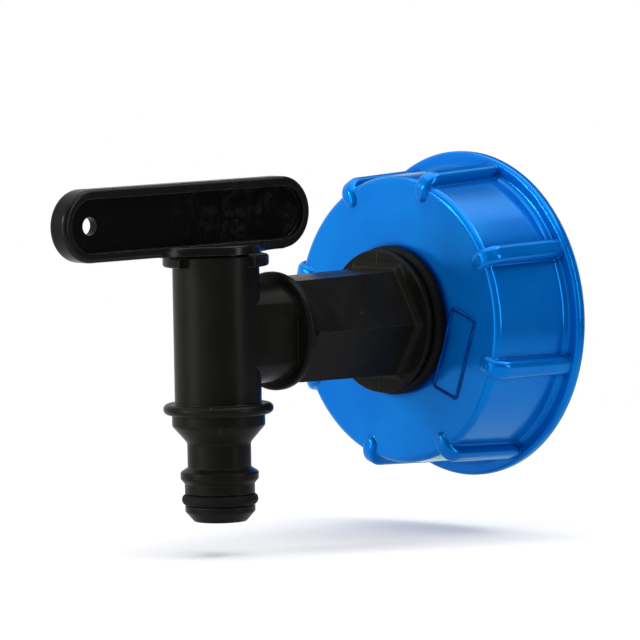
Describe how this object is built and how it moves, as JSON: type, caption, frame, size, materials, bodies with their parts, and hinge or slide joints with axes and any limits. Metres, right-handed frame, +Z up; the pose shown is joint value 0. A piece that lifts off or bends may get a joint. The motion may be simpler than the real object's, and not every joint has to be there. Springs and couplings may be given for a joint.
{
  "type": "intermediate bulk container tap",
  "caption": "Lever tap for a bulk liquid container: a ribbed screw cap, a hexagon inlet arm, an upright barrel with a turning lever, and a click-on hose nozzle below.",
  "frame": {"origin": "centre of the screw cap's open mouth, on the inlet axis", "axes": "+Y along the inlet axis towards the container, +Z up along the barrel axis towards the lever, +X to the right seen from the lever's long end"},
  "size_m": [0.0752, 0.1266, 0.0791],
  "materials": {
    "blue_polypropylene": "satin-gloss moulded blue polypropylene",
    "black_polypropylene": "satin moulded black polypropylene with faint flow marks",
    "black_rubber": "matt black rubber"
  },
  "bodies": {
    "tap": {"adapter_cap": "blue_polypropylene", "container_gasket": "black_rubber", "inlet_gasket": "black_rubber", "tap_body": "black_polypropylene", "port_seat": "black_rubber", "nozzle_o_ring": "black_rubber"},
    "lever": {"lever_plug": "black_polypropylene", "plug_o_ring_upper": "black_rubber", "plug_o_ring_lower": "black_rubber"}
  },
  "joints": [
    {"name": "lever_turn", "type": "hinge", "parent": "tap", "child": "lever", "pos_m": [0, -0.0797, 0], "axis": [0, 0, 1], "range_deg": [-90, 0]}
  ]
}
